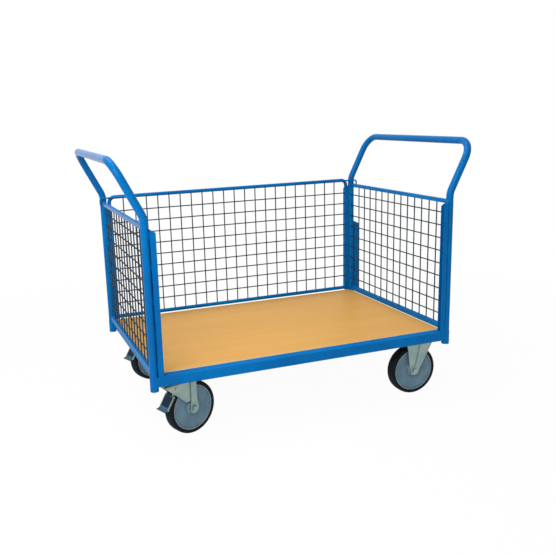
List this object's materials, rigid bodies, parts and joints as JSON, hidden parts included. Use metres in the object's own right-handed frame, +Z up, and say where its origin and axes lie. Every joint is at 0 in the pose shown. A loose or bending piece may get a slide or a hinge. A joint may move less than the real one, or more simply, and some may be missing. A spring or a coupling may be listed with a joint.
{
  "type": "platform trolley",
  "caption": "Platform trolley with leaning push bars, wire-mesh ends and a lift-out mesh rear panel, wooden deck, braked swivel casters at one end and fixed casters at the other.",
  "frame": {"origin": "on the floor, under the middle of the platform", "axes": "+X along the platform towards the fixed casters, +Y across it towards the mesh rear panel, +Z up"},
  "size_m": [1.4088, 0.8, 1.024],
  "materials": {
    "blue_paint": "gloss powder coat",
    "wire_paint": "satin",
    "zinc": "zinc plated",
    "pedal_black": "satin",
    "wheel_disc": "satin",
    "tyre": "matt",
    "deck": "sealed beech veneer"
  },
  "bodies": {
    "chassis": {"front_beam": "blue_paint", "rear_beam": "blue_paint", "left_beam": "blue_paint", "right_beam": "blue_paint", "front_left_socket": "blue_paint", "front_right_socket": "blue_paint", "rear_left_socket": "blue_paint", "rear_right_socket": "blue_paint", "left_bearers": "blue_paint", "centre_bearer": "blue_paint", "right_bearers": "blue_paint", "left_hoop": "blue_paint", "right_hoop": "blue_paint", "left_top_rail": "blue_paint", "left_bottom_rail": "blue_paint", "right_top_rail": "blue_paint", "right_bottom_rail": "blue_paint", "front_left_guide": "blue_paint", "front_right_guide": "blue_paint", "rear_left_guide": "blue_paint", "rear_right_guide": "blue_paint", "outer_guide": "blue_paint", "left_mesh": "wire_paint", "right_mesh": "wire_paint", "deck_screws": "zinc", "caster_bolts": "zinc", "front_right_fork": "zinc", "rear_right_fork": "zinc", "front_right_axle": "zinc", "rear_right_axle": "zinc", "front_left_plate": "zinc", "front_left_kingpin": "zinc", "rear_left_plate": "zinc", "rear_left_kingpin": "zinc", "deck_board": "deck"},
    "rear_panel": {"panel_frame": "blue_paint", "panel_rail": "blue_paint", "panel_mesh": "wire_paint", "left_hook": "blue_paint", "right_hook": "blue_paint"},
    "front_left_caster": {"front_left_fork": "zinc", "front_left_ball_ring": "zinc", "front_left_pedal_pin": "zinc", "front_left_axle": "zinc"},
    "front_left_roller": {"front_left_wheel": "wheel_disc", "front_left_tyre": "tyre"},
    "front_left_brake": {"front_left_pedal": "pedal_black"},
    "rear_left_caster": {"rear_left_fork": "zinc", "rear_left_ball_ring": "zinc", "rear_left_pedal_pin": "zinc", "rear_left_axle": "zinc"},
    "rear_left_roller": {"rear_left_wheel": "wheel_disc", "rear_left_tyre": "tyre"},
    "rear_left_brake": {"rear_left_pedal": "pedal_black"},
    "front_right_roller": {"front_right_wheel": "wheel_disc", "front_right_tyre": "tyre"},
    "rear_right_roller": {"rear_right_wheel": "wheel_disc", "rear_right_tyre": "tyre"}
  },
  "joints": [
    {"name": "front_left_swivel", "type": "hinge", "parent": "chassis", "child": "front_left_caster", "pos_m": [-0.483, -0.3, 0.2], "axis": [0, 0, 1], "continuous": true},
    {"name": "front_left_roll", "type": "hinge", "parent": "front_left_caster", "child": "front_left_roller", "pos_m": [-0.44541, -0.28632, 0.1], "axis": [-0.342, 0.9397, 0], "continuous": true},
    {"name": "front_left_brake_press", "type": "hinge", "parent": "front_left_caster", "child": "front_left_brake", "pos_m": [-0.51491, -0.31162, 0.19399], "axis": [0.342, -0.9397, 0], "range_deg": [0, 5]},
    {"name": "rear_left_swivel", "type": "hinge", "parent": "chassis", "child": "rear_left_caster", "pos_m": [-0.483, 0.3, 0.2], "axis": [0, 0, 1], "continuous": true},
    {"name": "rear_left_roll", "type": "hinge", "parent": "rear_left_caster", "child": "rear_left_roller", "pos_m": [-0.44591, 0.31498, 0.1], "axis": [-0.3746, 0.9272, 0], "continuous": true},
    {"name": "rear_left_brake_press", "type": "hinge", "parent": "rear_left_caster", "child": "rear_left_brake", "pos_m": [-0.51449, 0.28728, 0.19399], "axis": [0.3746, -0.9272, 0], "range_deg": [0, 5]},
    {"name": "front_right_roll", "type": "hinge", "parent": "chassis", "child": "front_right_roller", "pos_m": [0.494, -0.3, 0.1], "axis": [0, 1, 0], "continuous": true},
    {"name": "rear_right_roll", "type": "hinge", "parent": "chassis", "child": "rear_right_roller", "pos_m": [0.494, 0.3, 0.1], "axis": [0, 1, 0], "continuous": true},
    {"name": "rear_panel_lift", "type": "slide", "parent": "chassis", "child": "rear_panel", "axis": [0, 0, 1], "range_m": [0, 0.52]}
  ]
}
